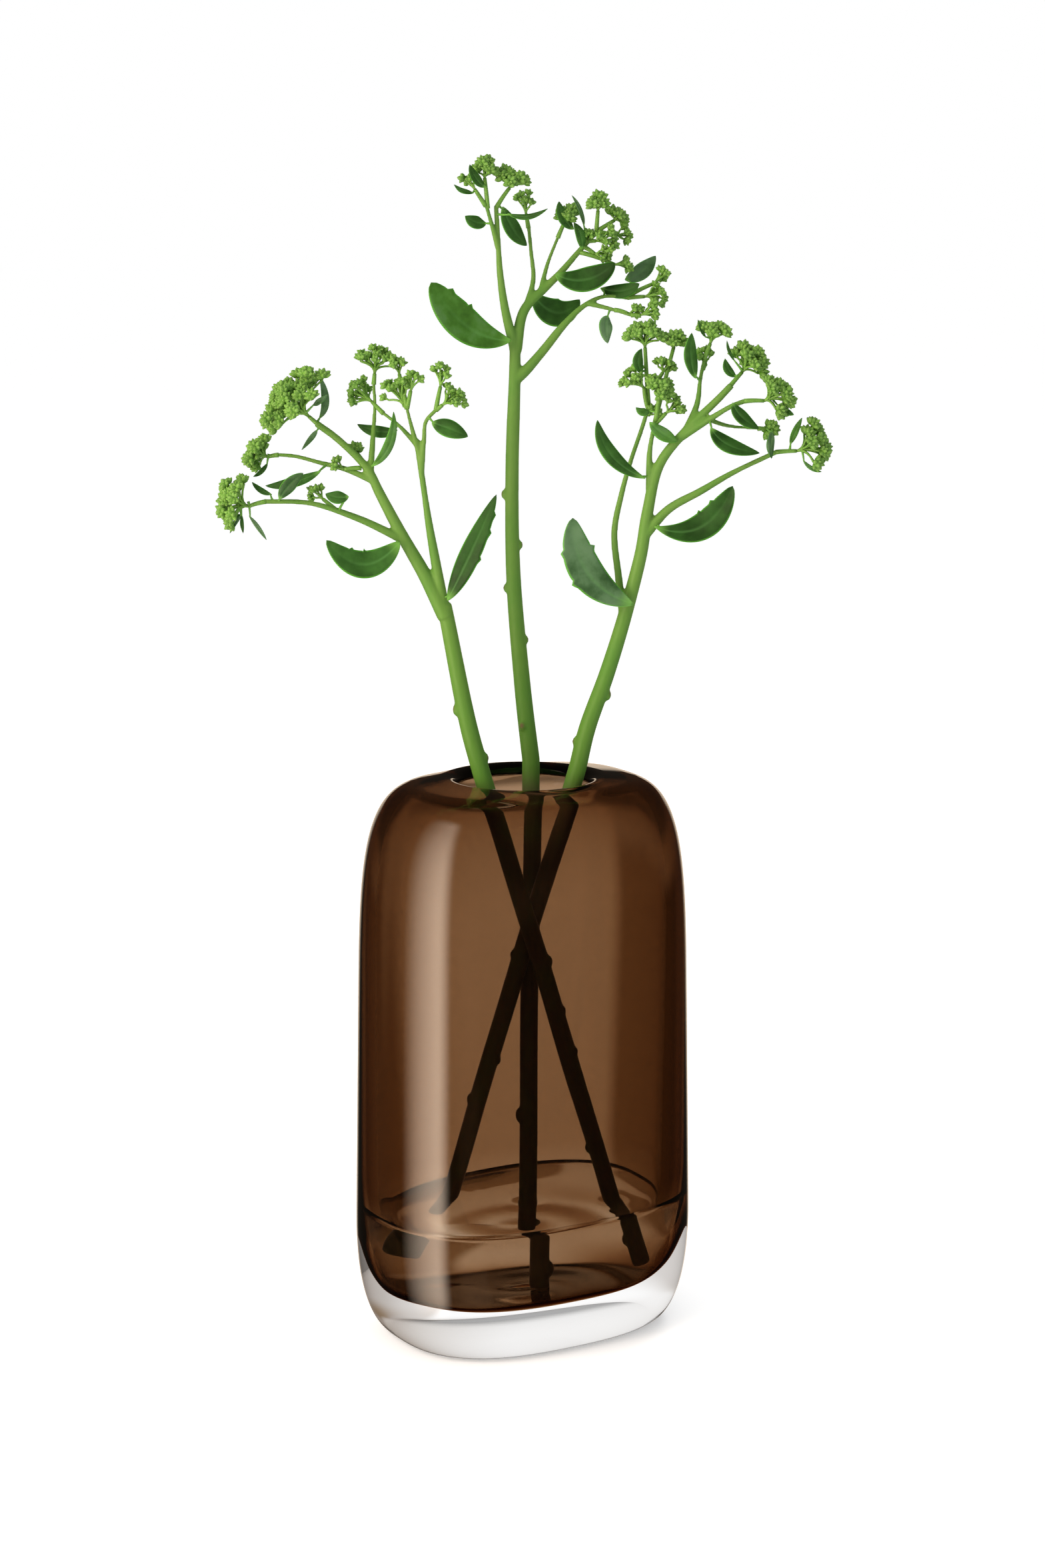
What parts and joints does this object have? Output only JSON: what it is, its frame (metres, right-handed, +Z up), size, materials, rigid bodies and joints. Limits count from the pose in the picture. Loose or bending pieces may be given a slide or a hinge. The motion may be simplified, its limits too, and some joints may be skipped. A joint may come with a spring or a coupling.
{
  "type": "bud vase with cut stems",
  "caption": "Rounded rectangular cased-glass bud vase, clear outside with an amber lining and a thick clear base, part filled with water and holding cut stonecrop sprigs in bud.",
  "frame": {"origin": "centre of the vase's flat base, on the surface it stands on", "axes": "+Z up along the vase; +X to the right of the front view; +Y to the back; the long axis of the vase's plan is turned 30.5 degrees anticlockwise from +X"},
  "size_m": [0.251, 0.126, 0.4963],
  "materials": {
    "clear_glass": "polished",
    "amber_glass": "polished",
    "water": "still liquid surface",
    "stem_green": "waxy, slightly glossy",
    "leaf_green": "waxy with a grey bloom",
    "bud_green": "matte"
  },
  "bodies": {
    "vase": {"clear_glass_case": "clear_glass", "amber_glass_lining": "amber_glass", "water": "water"},
    "left_sprig": {"left_buds_bract_small": "bud_green", "left_buds_far_right": "bud_green", "left_buds_low_left": "bud_green", "left_buds_low_small": "bud_green", "left_buds_main_dome": "bud_green", "left_buds_mid_left": "bud_green", "left_buds_twin_left": "bud_green", "left_buds_twin_middle": "bud_green", "left_buds_twin_right": "bud_green", "left_buds_twin_top": "bud_green", "left_leaf_fork_upright": "leaf_green", "left_leaf_inner_curved": "leaf_green", "left_leaf_inner_flat": "leaf_green", "left_leaf_inner_right": "leaf_green", "left_leaf_low_branch_long": "leaf_green", "left_leaf_low_branch_oval": "leaf_green", "left_leaf_low_branch_pale": "leaf_green", "left_leaf_lower_hanging": "leaf_green", "left_sprig_stem": "stem_green"},
    "centre_sprig": {"centre_buds_far_high": "bud_green", "centre_buds_far_low": "bud_green", "centre_buds_far_mid": "bud_green", "centre_buds_mid": "bud_green", "centre_buds_right_low": "bud_green", "centre_buds_right_tip": "bud_green", "centre_buds_right_top": "bud_green", "centre_buds_top": "bud_green", "centre_buds_top_left": "bud_green", "centre_buds_twig_top": "bud_green", "centre_leaf_behind_fork": "leaf_green", "centre_leaf_behind_top": "leaf_green", "centre_leaf_big_left": "leaf_green", "centre_leaf_big_right": "leaf_green", "centre_leaf_bract_top": "leaf_green", "centre_leaf_grey_right": "leaf_green", "centre_leaf_hanging": "leaf_green", "centre_leaf_paddle_left": "leaf_green", "centre_sprig_stem": "stem_green"},
    "right_sprig": {"right_buds_big_right": "bud_green", "right_buds_dome_high": "bud_green", "right_buds_dome_low": "bud_green", "right_buds_left_front": "bud_green", "right_buds_left_high": "bud_green", "right_buds_left_low": "bud_green", "right_buds_left_mid": "bud_green", "right_buds_left_top": "bud_green", "right_buds_twig_small": "bud_green", "right_buds_upper": "bud_green", "right_leaf_big_lower": "leaf_green", "right_leaf_big_right": "leaf_green", "right_leaf_hanging": "leaf_green", "right_leaf_mid_right": "leaf_green", "right_leaf_short_right": "leaf_green", "right_leaf_upright_left": "leaf_green", "right_leaf_upright_mid": "leaf_green", "right_sprig_stem": "stem_green"}
  },
  "joints": [
    {"name": "left_sprig_lift", "type": "slide", "parent": "vase", "child": "left_sprig", "axis": [-0.2726, -0.0609, 0.9602], "range_m": [0, 0.24]},
    {"name": "centre_sprig_lift", "type": "slide", "parent": "vase", "child": "centre_sprig", "axis": [0.0133, 0.0936, 0.9955], "range_m": [0, 0.24]},
    {"name": "right_sprig_lift", "type": "slide", "parent": "vase", "child": "right_sprig", "axis": [0.2805, -0.0412, 0.959], "range_m": [0, 0.24]}
  ]
}
